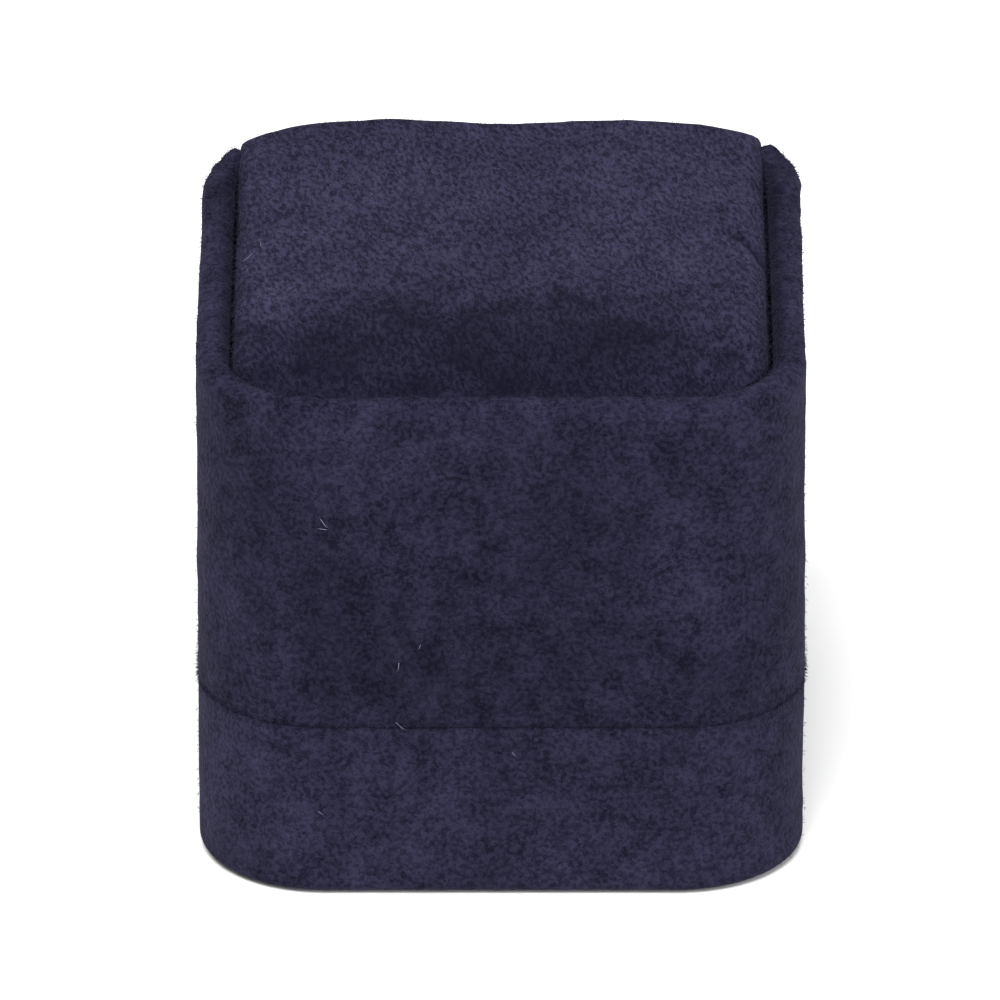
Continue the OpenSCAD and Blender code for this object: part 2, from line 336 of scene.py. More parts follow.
def fibres(name, roots, directions, radius, level, seed):
    """Thin tapered hairs: each leaves its root along its direction, as long as that is, and bends
    to one side."""
    random = np.random.default_rng(seed)
    count, bend = len(roots), 0.35
    per_hair = 7                   # two rings of three vertices, and the tip
    length = np.linalg.norm(directions, axis=1, keepdims=True)
    ahead = directions / length
    side = np.cross(ahead, random.normal(size=(count, 3)))
    side /= np.linalg.norm(side, axis=1, keepdims=True)
    other = np.cross(ahead, side)
    vertices = []
    for t, thick in ((0.0, 1.0), (0.55, 0.75)):
        centre = roots + directions * t + side * length * bend * t * t
        for turn in np.radians((0, 120, 240)):
            vertices.append(centre + thick * radius * (math.cos(turn) * side + math.sin(turn) * other))
    vertices.append(roots + directions + side * length * bend)
    vertices = np.stack(vertices, 1).reshape(-1, 3)
    start = np.arange(count)[:, None] * per_hair
    quads = [start + (i, (i + 1) % 3, 3 + (i + 1) % 3, 3 + i) for i in range(3)]
    ends = [start + (3 + i, 3 + (i + 1) % 3, 6) for i in range(3)] + [start + (2, 1, 0)]
    faces = np.concatenate(quads).tolist() + np.concatenate(ends).tolist()
    piece = make_piece(name, vertices, faces)
    lighter = np.tile((1, 1, 1, 1.6, 1.6, 1.6, 2.2), count)
    attribute(piece, "nap_and_shade", nap_and_shade(np.repeat(roots, per_hair, 0), lighter * level))
    return piece


def pile_fringe(name, piece, density, length, level, seed):
    """Hairs standing out of a velvet piece, about density of them for each vertex."""
    random = np.random.default_rng(seed)
    count = random.poisson(density)
    roots, out = np.repeat(coordinates(piece), count, 0), np.repeat(normals(piece), count, 0)
    roots = roots + random.normal(0, 0.12, roots.shape) - 0.08 * out
    lean = out + random.normal(0, 0.8, out.shape)
    reach = length * random.uniform(0.6, 1.3, (len(roots), 1))
    lean *= reach / np.linalg.norm(lean, axis=1, keepdims=True)
    return fibres(name, roots, lean, 0.03, level, seed + 1)


# ---- Wall and base ----

def wall_sections():
    """How the upper wall changes round the box, with a value for each column. The back wall is
    lower, and the side walls end there in wedges that follow the lid's sides. The one on the
    right stands higher and fuller."""
    core, normal = box_columns()
    outline = core + normal * CORNER_R
    x_out, y_out = np.abs(outline[:, 0]), outline[:, 1]
    right, behind = core[:, 0] > 0, core[:, 1] > 0
    notch_x = LID_HALF + 0.08 - 0.25 * smooth(y_out, 21, 24)
    reach = CORNER_R - (notch_x - np.abs(core[:, 0])) / np.maximum(np.abs(normal[:, 0]), 1e-6)
    at_back = behind & (normal[:, 1] > 0)
    wedge = at_back & (x_out > notch_x)
    over_back = smooth(np.where(wedge, -reach, np.where(at_back, 1, -WALL_T)), -0.9, -0.2)
    rise = np.where(right, 0.5, -0.1) * smooth(y_out, 12, 18)
    rise += 0.25 * smooth(y_out, 24, 26.2) - np.where(right, 0.5, 0.3) * smooth(y_out, 18.5, 22.5)
    stepped = np.maximum(over_back, smooth(y_out, NOTCH_Y - 0.6, NOTCH_Y))
    return SimpleNamespace(
        core=core,
        normal=normal,
        wedge=wedge,
        thick=mixed(np.where(wedge, np.clip(reach, 0.9, WALL_T), WALL_T), WALL_T, over_back),
        height=mixed(RIM_Z + rise, BACK_Z, over_back),
        inner_end=mixed(LEDGE_Z, BACK_Z - 1.2, stepped) - 0.4,
        rim_power=1 - 0.45 * smooth(y_out, 17, 24) * (1 - over_back),
        fullness=np.where(right, 1.1, 0.3) * np.abs(normal[:, 0] * normal[:, 1]) * behind,
    )


def wall_rows(wall):
    """Rows of the wall's velvet: up the outside, over the rim, down to the ledge, and back along
    its hidden side. Gives their insets, their heights and which of them show."""
    rows = Rows(len(wall.core))
    thick, radius = wall.thick, wall.thick / 2
    top = wall.height - radius
    skin = np.minimum(FABRIC_T, 0.3 * thick)
    lip = 0.08
    for angle in np.radians(np.linspace(90, 15, 4)):
        rows.add(lip - lip * math.cos(angle), SEAM_Z + lip - lip * math.sin(angle))
    first_shown = len(rows.z)
    for t in np.linspace(0, 1, steps_for(RIM_Z - SEAM_Z)):
        rows.add(0.0, SEAM_Z + lip + (top - SEAM_Z - lip) * t)
    for angle in np.radians(np.linspace(0, 180, 17))[1:]:
        across = math.copysign(1, math.cos(angle)) * abs(math.cos(angle)) ** wall.rim_power
        rows.add(radius - radius * across, top + radius * max(math.sin(angle), 0) ** wall.rim_power)
    for t in np.linspace(0, 1, steps_for(RIM_Z - LEDGE_Z))[1:]:
        shelf = np.where(wall.wedge, smooth(t, 0.80, 0.96), 0)
        fall = np.where(wall.wedge, min(t / 0.8, 1) * 0.9 + 0.1 * smooth(t, 0.96, 1), t)
        rows.add(thick + (WALL_T - thick) * shelf, mixed(top, wall.inner_end, fall))
    shown = slice(first_shown, len(rows.z))
    rows.add(WALL_T, wall.inner_end - 0.3)
    rows.add(WALL_T - skin, wall.inner_end - 0.3)
    rows.add(thick - skin, top)
    for angle in np.radians((135, 90, 45)):
        rows.add(radius - (radius - skin) * math.cos(angle), top + (radius - skin) * math.sin(angle))
    for t in (0.0, 0.5, 1.0):
        rows.add(skin, mixed(top, SEAM_Z + FABRIC_T, t))
    rows.add(lip + 0.4, SEAM_Z + FABRIC_T)
    rows.add(lip + 0.4, SEAM_Z)
    return *rows.grids(), shown


def wall_cover():
    """Velvet over the upper wall, fuller at the back corners and tufted along the rim."""
    wall = wall_sections()
    inset, z, rows_shown = wall_rows(wall)
    outer_side = np.clip(1 - inset / wall.thick[:, None], 0, 1)
    inset = inset - wall.fullness[:, None] * smooth(z, 22, 44) * outer_side
    vertices = round_columns(wall.core, wall.normal, inset, z)
    piece = make_piece("wall_velvet_cover", vertices.reshape(-1, 3), ring_faces(*z.shape))
    shown = np.zeros(z.shape)
    shown[:, rows_shown] = 1
    # Painted shade: darker just above the seam groove, and on the rim's inner side beside the lid's gap.
    near_seam = 1 - smooth(z, SEAM_Z + 0.1, SEAM_Z + 0.8)
    beside_lid = smooth(inset, 1.4, 2.6) * smooth(z, RIM_Z - 3, RIM_Z - 1)
    level = (0.20 - 0.05 * near_seam) * (1 - 0.65 * beside_lid)
    rim = shown * smooth(z, RIM_Z - 1.6, RIM_Z - 0.4)
    tufts = 0.10 + 0.17 * noise(coordinates(piece), 0.7, SEED + 14)
    pile(piece, shown.ravel(), level.ravel())
    move(piece, normals(piece) * (rim.ravel() * tufts)[:, None])
    return piece


def base_cover():
    """Velvet over the lower tray: rolled at the seam, round the bottom edge and turned under."""
    core, normal = box_columns()
    roll, edge, turned_in = 0.2, 1.0, 1.9
    under_z, under_w = base_low[2], 8.0
    outer = np.concatenate([
        line((under_w, under_z), (edge, under_z)),
        arc((edge, under_z + edge), edge, 270, 180, 9),
        line((0, under_z + edge), (0, SEAM_Z - roll))[1:],
        arc((roll, SEAM_Z - roll), roll, 180, 90, 6),
    ])
    inner = np.array([
        (turned_in, SEAM_Z), (turned_in, SEAM_Z - FABRIC_T),
        (FABRIC_T, SEAM_Z - FABRIC_T - 0.3), (FABRIC_T, 8), (FABRIC_T, 2.2),
        (1.1, 1.2), (2.0, under_z + 0.6), (under_w, under_z + 0.6),
    ])
    profile = np.concatenate([outer, inner])
    shape = (len(core), len(profile))
    inset, z = (np.broadcast_to(profile[:, i], shape) for i in (0, 1))
    piece = make_piece("base_velvet_cover", round_columns(core, normal, inset, z).reshape(-1, 3),
                       ring_faces(*shape))
    shown = np.zeros(shape)
    shown[:, :len(outer)] = smooth(outer[:, 1], 0.3, 2)
    # Painted highlight: lighter along the band's rolled top edge just below the seam.
    near_seam = smooth(z, SEAM_Z - 1.6, SEAM_Z - 0.4)
    pile(piece, shown.ravel(), 0.23 + 0.035 * near_seam.ravel())
    return piece


# ---- Inside of the box ----

def lining_cover():
    """Satin down the inside of the box, brought over the frame's top edge at the ledge."""
    core, normal = box_columns()
    y = core[:, 1] + normal[:, 1] * (CORNER_R - LINING_IN)
    at_back = smooth(y, NOTCH_Y - 1.2, NOTCH_Y - 0.2)
    top = mixed(LEDGE_Z, BACK_Z, at_back) + 0.2
    low, roll, thin = lining_low[2] + 1.2, 0.6, 0.25
    rows = Rows(len(core))
    for t in np.linspace(0, 1, steps_for(LEDGE_Z - low)):
        rows.add(LINING_IN, mixed(low, top - roll, t))
    for angle in np.radians((30, 60, 90)):
        rows.add(LINING_IN - roll + roll * math.cos(angle), top - roll + roll * math.sin(angle))
    rows.add(WALL_T - 0.2, top)
    rows.add(WALL_T - 0.2, top - thin)
    rows.add(LINING_IN - roll, top - thin)
    rows.add(LINING_IN - thin, top - roll)
    rows.add(LINING_IN - thin, low)
    inset, z = rows.grids()
    piece = make_piece("satin_lining", round_columns(core, normal, inset, z).reshape(-1, 3),
                       ring_faces(*z.shape))
    points, high = coordinates(piece), z.shape[1]
    at_corner = smooth(np.abs(normal[:, 0] * normal[:, 1]), 0.02, 0.3)
    below_top = points[:, 2] < np.repeat(top, high) - 1
    loose = np.repeat(0.05 + 0.10 * at_corner, high) * below_top
    folds = noise(points * (1, 1, 0.16), 2.4, SEED + 11)
    folds = folds + 0.5 * noise(points * (1, 1, 0.3), 1.1, SEED + 12)
    outward = np.repeat(raised(normal, 0.0), high, 0)
    move(piece, outward * (loose * np.clip(folds, -1, 1))[:, None])
    return piece


def pad_form(name, node, inset):
    """One ring pad: flat below, crowned above, with its sides drawn in between the corners. Its
    corners follow the lining on the outside, and are tight at the ring slot."""
    low, high = (np.array(c) for c in node_box(node))
    side = 1 if high[1] > -low[1] else -1
    half = high[0]
    outer_r, slot_r, roll, side_height = CORNER_R - LINING_IN - 0.3, 1.2, 3.2, 6.0
    near, far = (slot_r, outer_r) if side > 0 else (outer_r, slot_r)
    front = (half - near, low[1] + near, near)
    back = (half - far, high[1] - far, far)
    middle, deep = (low[1] + high[1]) / 2, (high[1] - low[1]) / 2

    def plan(d):
        flat = plan_grid(half, front, back, 0.0)
        u, v = flat[..., 0] / half, (flat[..., 1] - middle) / deep
        shrink_x = 1 - (d + inset) / half - 0.012 * (1 - v ** 2) * np.abs(u)
        shrink_y = 1 - (d + inset) / deep - 0.035 * (1 - u ** 4) * np.abs(v)
        return np.stack([flat[..., 0] * shrink_x, middle + (flat[..., 1] - middle) * shrink_y], -1)

    def top(flat):
        u, v = flat[..., 0] / half, (flat[..., 1] - middle) / deep
        place = np.stack([flat[..., 0] * 0.5, flat[..., 1], flat[..., 0]], -1)
        dimple = 0.10 * noise(place, 4, SEED + 21)
        return high[2] - inset - 0.9 + 1.2 * (1 - u ** 4) * (1 - v ** 2) + dimple

    def edge(d, z):
        return raised(edge_of(plan(d)), z)

    rim = top(edge_of(plan(roll)))
    rows = [edge(roll * (1 - math.sin(a)), rim - roll * (1 - math.cos(a)))
            for a in np.radians(np.linspace(0, 90, 11))[1:]]
    rows += [edge(0.0, (rim - roll) * (1 - t) + (low[2] + inset + 0.5) * t)
             for t in np.linspace(0, 1, steps_for(side_height))[1:]]
    rows += [edge(0.5, low[2] + inset)]
    return closed_form(name, raised(plan(roll), top(plan(roll))), rows,
                       raised(plan(roll), low[2] + inset))


def ring_pads():
    """Each pad's foam and the velvet round it."""
    made = []
    for where in ("front", "rear"):
        node = f"{where}_pad_cover"
        cover = pad_form(f"{where}_ring_pad", node, 0.0)
        pile(cover, np.full(len(cover.data.vertices), 0.6), 0.30)
        core = pad_form(f"{where}_ring_pad_foam", node, 0.7)
        made.append((cover, node, core, f"{where}_pad_foam"))
    return made


def rivet_heads():
    """Domed heads on short shanks, facing forward through the body leaf."""
    low, high = node_box("body_rivets")
    middle_z = (low[2] + high[2]) / 2
    head_r = (high[2] - low[2]) / 2
    leaf_y, spring_t = body_leaf_low[1], 0.4
    profile_r = 1.25
    profile = [(0, -0.55), (0.35, -0.52), (0.7, -0.42), (1.0, -0.26), (1.2, -0.08), (profile_r, 0),
               (0.6, 0.0), (0.6, 1.6), (0, 1.6)]
    turns = 28
    vertices, faces = [], []
    for x in (low[0] + head_r, 0, high[0] - head_r):
        start = len(vertices)
        face_y = leaf_y - (spring_t if x == 0 else 0)
        for r, ahead in profile:
            for angle in np.arange(turns) * 2 * math.pi / turns:
                wide = r * head_r / profile_r
                vertices.append((x + wide * math.cos(angle), face_y + ahead,
                                 middle_z + wide * math.sin(angle)))
        for i in range(len(profile) - 1):
            for j in range(turns):
                a, b = start + i * turns + j, start + i * turns + (j + 1) % turns
                faces.append((a, b, b + turns, a + turns))
    piece = make_piece("domed_rivets", vertices, faces)
    made = bmesh.new()
    made.from_mesh(piece.data)
    bmesh.ops.remove_doubles(made, verts=made.verts, dist=1e-6)
    bmesh.ops.recalc_face_normals(made, faces=made.faces)
    made.to_mesh(piece.data)
    made.free()
    return piece


# ---- Lid ----

# Creases in the lid velvet: from (x, y), to (x, y), depth and width
CREASES = [
    ((23.9, -0.4), (21.6, 3.6), 0.75, 0.5),
    ((21.6, 3.6), (19.8, 5.0), 0.25, 0.8),
    ((-24.5, -15.0), (-21.5, -16.6), 0.40, 0.9),
    ((-24.5, -6.0), (-23.2, -7.6), 0.35, 0.9),
    ((9.0, -19.0), (14.5, -17.4), 0.12, 1.6),
    ((-16.0, -18.6), (-8.0, -19.4), 0.12, 1.8),
]
LID_FRONT = (CORE[0], -CORE[1], CORNER_R - LID_INSET)
LID_BACK = (HALF_W - BACK_R, HALF_D - BACK_R, BACK_R)
LID_EDGE_R = 2.2
TURN_R = 0.6                       # roll of the velvet at the lid's lower edge
BARREL_END = (15.2, 15.9)          # x between which the lower edge comes down beside the hinge


def crease_depth(plan):
    depth = np.zeros(plan.shape[:-1])
    for start, end, deep, wide in CREASES:
        a, b = np.array(start), np.array(end)
        along = np.clip(((plan - a) @ (b - a)) / ((b - a) @ (b - a)), 0, 1)
        off = np.linalg.norm(plan - a - along[..., None] * (b - a), axis=-1)
        depth += deep * (1 - 0.7 * along) * np.exp(-(off / wide) ** 2)
    return depth


def middle(plan):
    """1 half way between the lid's sides, falling to 0 at the sides."""
    return np.clip(1 - (plan[..., 0] / LID_HALF) ** 2, 0, 1)


def nose_start(plan):
    """The y where the padded top begins to round down to the front: sooner in the middle."""
    return WALL_T - HALF_D + 12.5 + 4.5 * middle(plan)


def nose_fall(plan):
    """How far the padded top has dropped."""
    start, front = nose_start(plan), WALL_T - HALF_D
    t = np.clip((start - plan[..., 1]) / (start - front), 0, 1)
    return (4.4 + 1.2 * middle(plan)) * (1 - np.sqrt(np.clip(1 - t ** 2, 0, 1)))


def lid_height(plan):
    """Height of the padded top: nearly flat, with two soft swellings towards the back."""
    x, y = plan[..., 0] / LID_HALF, plan[..., 1]
    crown = 0.55 * x ** 4 + 0.15 * smooth(y, 22, HALF_D)
    crown += 0.30 * (1 - 0.85 * x) * smooth(np.abs(x), 0.7, 1.0) * smooth(y, 17, 29)
    swell = 0.18 * np.cos(2.2 * math.pi * x) * smooth(y, -5, 20)
    return LID_TOP + 0.3 - nose_fall(plan) - crown - swell - crease_depth(plan)


def lid_plan(inset):
    return plan_grid(LID_HALF, LID_FRONT, LID_BACK, inset)


def edge_depth(plan):
    """How far the rounding of the lid's top edge reaches down: not at all where the nose is round
    already, and less at the back corners, where the lid meets the ends of the side walls."""
    at_corner = smooth(plan[..., 1], 14, 22) * smooth(np.abs(plan[..., 0]), 18, 23)
    return (LID_EDGE_R - 0.8 * at_corner) * smooth(plan[..., 1], -26, -19)


def lid_edge(inset):
    """Rows of points round the lid's top edge, drawn in by a distance."""
    rows = []
    for a in np.radians(np.linspace(0, 90, 9))[1:]:
        ring = edge_of(lid_plan(inset + LID_EDGE_R * (1 - math.sin(a))))
        rows.append(raised(ring, lid_height(ring) - inset - edge_depth(ring) * (1 - math.cos(a))))
    return rows


def lid_side(inset, low, spacing):
    """Rows of points down the lid's side, from its rounded edge to a height."""
    outline = edge_of(lid_plan(inset))
    top = lid_height(outline) - inset - edge_depth(outline)
    count = max(2, round((LID_TOP - LID_EDGE_R - LID_UNDER) / spacing))
    return [raised(outline, top * (1 - t) + low * t) for t in np.linspace(0, 1, count)[1:]]


def lid_cover():
    """Velvet round the lid's pad and board: top, sides, and turned under as far as the lining. Its
    lower edge rises over the hinge barrel."""
    face = lid_plan(LID_EDGE_R)
    outline = edge_of(lid_plan(0.0))
    barrel = (1 - smooth(np.abs(outline[:, 0]), *BARREL_END)) * smooth(outline[:, 1], 26, 27)
    under = LID_UNDER + 1.15 * barrel
    centre = np.clip(outline, -CORE, CORE)
    outward = outline - centre
    span = np.linalg.norm(outward, axis=1, keepdims=True)
    outward = outward / span
    edge_in = CORNER_R - span
    last_in = HALF_W - lid_lining_high[0] + 0.7

    def turned(part, z):
        inset = edge_in + (last_in - edge_in) * part
        return raised(centre + outward * (CORNER_R - inset), z)

    rows = lid_edge(0.0) + lid_side(0.0, under + TURN_R, STEP)
    for angle in np.radians(np.linspace(0, 90, 5))[1:]:
        rows.append(raised(edge_of(lid_plan(TURN_R * (1 - math.cos(angle)))),
                           under + TURN_R - TURN_R * math.sin(angle)))
    shown_rows = len(rows)
    behind_leaf = LID_UNDER + 0.15 * barrel
    # In under the board, up behind the hinge leaf as far as the lining, and back inside the side
    rows += [turned(0.19, under), turned(0.33, under), turned(0.45, under)]
    rows += [turned(0.47, behind_leaf), turned(0.7, behind_leaf), turned(1.0, behind_leaf)]
    rows += [turned(1.0, behind_leaf + 0.45), turned(0.16, under + 0.5)]
    rows += lid_side(FABRIC_T, under + TURN_R + 0.2, 3.0)[::-1]
    rows += lid_edge(FABRIC_T)[::3][::-1]
    piece = closed_form("lid_velvet_cover", raised(face, lid_height(face)), rows,
                        raised(face, lid_height(face) - FABRIC_T))
    shown = np.zeros(len(piece.data.vertices))
    shown[:face[..., 0].size + shown_rows * len(outline)] = 1
    # The lid's level carries painted shade on the nose and in the creases.
    pile(piece, shown, lid_level(coordinates(piece)))
    return piece


def lid_level(points):
    """How light the lid's pile looks, with painted shade: darker and more mottled on the nose, where it
    rounds down to the front, and dark in the creases.
    """
    plan = points[:, :2]
    ragged = 2.6 * noise(points, 4, SEED + 8) + 3.0 * noise(points, 1.6, SEED + 9)
    # Painted shade on the nose, with a ragged upper edge.
    into_nose = smooth(nose_start(plan) - plan[:, 1] + ragged, -6, 8)
    shade = into_nose * (0.42 + 0.34 * smooth(middle(plan), 0.1, 0.7))
    mottled = 0.7 * noise(points, 3.5, SEED + 10) + 0.45 * noise(points, 1.5, SEED + 13)
    # shade and the crease factor paint shade on the nose and in the creases; mottled is random tone
    # there.
    return 0.30 * (1 - shade) * (1 + into_nose * mottled) * np.exp(-3.5 * crease_depth(plan))


def lid_foam():
    """Foam on the lid's board, just inside the velvet."""
    inset, board_top = FABRIC_T + 0.05, board_high[2]
    face = lid_plan(inset + LID_EDGE_R)
    rows = lid_edge(inset) + lid_side(inset, board_top, 1.5)
    return closed_form("lid_foam_block", raised(face, lid_height(face) - inset), rows,
                       raised(face, board_top))


def lid_lining(name, inset):
    """Cushion inside the lid: a crowned face that looks down, puckered round its edge."""
    half, back_z = lid_lining_high[0], lid_lining_high[2] - 0.1
    corner_r = half - CORE[0]
    roll = 1.1

    front, back = (CORE[0], -CORE[1], corner_r), (CORE[0], CORE[1], corner_r)

    def plan(d):
        return plan_grid(half, front, back, d + inset)

    def face_z(flat):
        u, v = np.abs(flat[..., 0]) / half, np.abs(flat[..., 1]) / (CORE[1] + corner_r)
        out = np.clip(np.maximum(u, v), 0, 1)
        angle = np.arctan2(flat[..., 1], flat[..., 0])
        around = np.stack([9 * np.cos(angle), 9 * np.sin(angle), 0.12 * out], -1)
        pucker = 0.28 * noise(around, 0.5, SEED + 31) * smooth(out, 0.5, 1.0)
        pucker += 0.12 * noise(around, 0.22, SEED + 33) * smooth(out, 0.75, 1.0)
        soft = 0.14 * noise(raised(flat, 0.0), 7, SEED + 32)
        crown = 1.15 * (1 - u ** 3) * (1 - v ** 3)
        return lid_lining_low[2] + 0.55 + inset - crown + pucker + soft

    rim = face_z(edge_of(plan(roll)))
    rows = [raised(edge_of(plan(roll * (1 - math.sin(a)))), rim + roll * (1 - math.cos(a)))
            for a in np.radians(np.linspace(0, 90, 7))[1:]]
    rows += [raised(edge_of(plan(0.0)), (rim + roll) * (1 - t) + back_z * t) for t in (0.5, 1.0)]
    return closed_form(name, raised(plan(roll), face_z(plan(roll))), rows,
                       raised(plan(roll), back_z))


# ---- Materials ----

class Nodes:
    """Adds shader nodes to one material and links them."""

    def __init__(self, name):
        self.material = bpy.data.materials.new(name)
        self.material.use_nodes = True
        self.tree = self.material.node_tree
        self.tree.nodes.clear()

    def add(self, kind, settings=None, **inputs):
        node = self.tree.nodes.new("ShaderNode" + kind)
        for key, value in (settings or {}).items():
            setattr(node, key, value)
        for key, value in inputs.items():
            socket = node.inputs[int(key[1:]) if key[0] == "i" and key[1:].isdigit()
                                 else key.replace("_", " ")]
            if isinstance(value, bpy.types.NodeSocket):
                self.tree.links.new(value, socket)
            else:
                socket.default_value = value
        return node.outputs

    def math(self, operation, a, b):
        return self.add("Math", {"operation": operation}, i0=a, i1=b)[0]

    def mix(self, factor, a, b):
        return self.add("Mix", {"data_type": "RGBA"}, i0=factor, i6=a, i7=b)[2]

    def spread(self, value, low, high):
        """Stretches low..high to 0..1, smoothly."""
        return self.add("MapRange", {"interpolation_type": "SMOOTHSTEP"}, Value=value,
                        From_Min=low, From_Max=high)[0]

    def place(self, x, y=None, z=None):
        """The object's own coordinates in millimetres, stretched along each axis."""
        where = self.add("TexCoord")["Object"]
        scale = (x / MM, (x if y is None else y) / MM, (x if z is None else z) / MM)
        return self.add("Mapping", Vector=where, Scale=scale)[0]

    def finish(self, shader):
        self.add("OutputMaterial", Surface=shader)
        return self.material


def rgb(red, green, blue):
    """A colour from its 0 to 255 screen values."""
    return tuple(((c / 255 + 0.055) / 1.055) ** 2.4 if c > 10 else c / 255 / 12.92
                 for c in (red, green, blue)) + (1.0,)


def velvet(name, curl, contrast, blotchy, slant=0.0, stretch=1.0):
    """Short plush pile: curls this many millimetres across, longer along the slant, with finer
    tips. On a level surface the standing pile looks longer along Y by stretch. The nap and painted
    shade stored on the vertices say how light it is. Curls and tips vary that by contrast, and blots
    a few millimetres across by blotchy, less where the nap and shade are dark."""
    n = Nodes(name)
    pile_depth, pile_tip = rgb(11, 10, 23), rgb(63, 61, 86)
    where = n.place(1.0, 1.0 / stretch, 1.0)
    combed = n.add("Mapping", {"vector_type": "TEXTURE"}, Vector=where, Rotation=(0, 0, slant),
                   Scale=(1.3 if slant else 1.0, 1, 1))[0]
    # Nap with painted shade and highlight, from the vertices
    lie_and_shade = n.add("Attribute", {"attribute_name": "nap_and_shade"})["Fac"]
    curls = n.add("TexNoise", Vector=combed, Scale=1 / curl, Detail=1.0, Roughness=0.5, Distortion=0.4)[0]
    tips = n.add("TexNoise", Vector=combed, Scale=2.3 / curl, Detail=2.0, Roughness=0.6)[0]
    blots = n.add("TexNoise", Vector=where, Scale=0.36, Detail=3.5, Roughness=0.62)[0]
    uneven = 0.0
    lumps = n.spread(curls, 0.32, 0.68)
    for part, weight in ((blots, blotchy), (lumps, 0.65 * contrast), (tips, 1.3 * contrast)):
        uneven = n.math("ADD", uneven, n.math("MULTIPLY", n.math("SUBTRACT", part, 0.5), weight))
    depth = n.math("MULTIPLY", n.math("POWER", lie_and_shade, 0.75), 0.7)
    tone = n.math("ADD", lie_and_shade, n.math("MULTIPLY", depth, uneven))
    height = n.math("ADD", n.math("MULTIPLY", curls, 0.7), n.math("MULTIPLY", tips, 0.3))
    bump = n.add("Bump", Strength=1.0, Distance=0.6 * curl * MM, Height=height)[0]
    colour = n.mix(tone, pile_depth, pile_tip)
    shader = n.add("BsdfPrincipled", Base_Color=colour, Roughness=0.95, Normal=bump,
                   Specular_IOR_Level=0.05, Sheen_Weight=0.06, Sheen_Roughness=0.4,
                   Sheen_Tint=rgb(150, 148, 190))[0]
    return n.finish(shader)


def satin(name, colour):
    """Woven satin: very fine threads one way, with a soft gloss."""
    n = Nodes(name)
    threads = n.add("TexNoise", Vector=n.place(3.0, 3.0, 0.4), Scale=1.0, Detail=3.0, Roughness=0.7)[0]
    clouds = n.add("TexNoise", Vector=n.place(1.0), Scale=0.25, Detail=2.0)[0]
    darker = tuple(0.72 * c for c in colour[:3]) + (1.0,)
    bump = n.add("Bump", Strength=0.35, Distance=0.04 * MM, Height=threads)[0]
    tone = n.math("ADD", n.math("MULTIPLY", threads, 0.7), n.math("MULTIPLY", clouds, 0.4))
    shader = n.add("BsdfPrincipled", Base_Color=n.mix(n.spread(tone, 0.3, 0.8), darker, colour),
                   Roughness=n.math("ADD", n.math("MULTIPLY", clouds, 0.12), 0.34), Normal=bump,
                   Specular_IOR_Level=0.6, Sheen_Weight=0.25, Sheen_Roughness=0.4,
                   Sheen_Tint=rgb(170, 172, 220))[0]
    return n.finish(shader)


def metal(name, colour, roughness):
    """Rolled sheet metal: fine scratches along X, a few duller smudges."""
    n = Nodes(name)
    scratches = n.add("TexNoise", Vector=n.place(0.25, 6.0, 6.0), Scale=1.5, Detail=3.0)[0]
    smudges = n.add("TexNoise", Vector=n.place(1.0), Scale=0.7, Detail=3.0)[0]
    rough = n.math("ADD", n.math("MULTIPLY", smudges, 0.22), roughness - 0.1)
    darker = tuple(0.8 * c for c in colour[:3]) + (1.0,)
    bump = n.add("Bump", Strength=0.25, Distance=0.02 * MM, Height=scratches)[0]
    shader = n.add("BsdfPrincipled", Base_Color=n.mix(scratches, darker, colour), Metallic=1.0,
                   Roughness=rough, Normal=bump)[0]
    return n.finish(shader)


def fibrous(name, dark, light, scale, depth):
    """Matt pressed fibres or fine cells: board, felt and foam."""
    n = Nodes(name)
    fine = n.add("TexNoise", Vector=n.place(1.0), Scale=scale, Detail=4.0, Roughness=0.7)[0]
    cells = n.add("TexVoronoi", Vector=n.place(1.0), Scale=scale * 0.8)[0]
    grain = n.math("ADD", n.math("MULTIPLY", fine, 0.6), n.math("MULTIPLY", cells, 0.5))
    bump = n.add("Bump", Strength=0.6, Distance=depth * MM, Height=grain)[0]
    shader = n.add("BsdfPrincipled", Base_Color=n.mix(n.spread(grain, 0.25, 0.75), dark, light),
                   Roughness=0.95, Normal=bump, Specular_IOR_Level=0.2)[0]
    return n.finish(shader)


def dress(piece, material):
    piece.data.materials.clear()
    piece.data.materials.append(material)


outer_velvet = velvet("outer_velvet", curl=0.45, contrast=1.4, blotchy=2.55)
band_velvet = velvet("band_velvet", curl=0.45, contrast=1.35, blotchy=2.0)
pad_velvet = velvet("pad_velvet", curl=0.45, contrast=1.0, blotchy=1.2)
lid_velvet = velvet("lid_velvet", curl=0.34, contrast=1.85, blotchy=0.85,
                    slant=-math.pi / 4, stretch=2.2)
satin_cloth = satin("lining_satin", rgb(30, 31, 62))
brass = metal("hinge_brass", rgb(206, 182, 132), 0.36)
steel = metal("spring_steel", rgb(182, 184, 188), 0.28)
greyboard = fibrous("greyboard", rgb(52, 51, 56), rgb(78, 76, 80), 1.6, 0.05)
foam = fibrous("foam", rgb(205, 200, 184), rgb(240, 236, 222), 2.4, 0.15)
lint = fibrous("lint", rgb(92, 94, 112), rgb(134, 136, 156), 2.0, 0.02)
felt = fibrous("felt", rgb(22, 22, 34), rgb(42, 42, 60), 2.0, 0.12)


# ---- Assembly ----

def place_piece(piece, material, body, node):
    """Puts a piece in the place of a CAD node, on that node's body."""
    dress(piece, material)
    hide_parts(node)
    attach(piece, body)


def add_on(piece, material, body):
    """Puts hairs or lint on a body, dressed in the material given."""
    dress(piece, material)
    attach(piece, body)


def add_fringe(name, piece, body, density, seed):
    add_on(pile_fringe(name, piece, density, 0.28, 0.2, seed), outer_velvet, body)


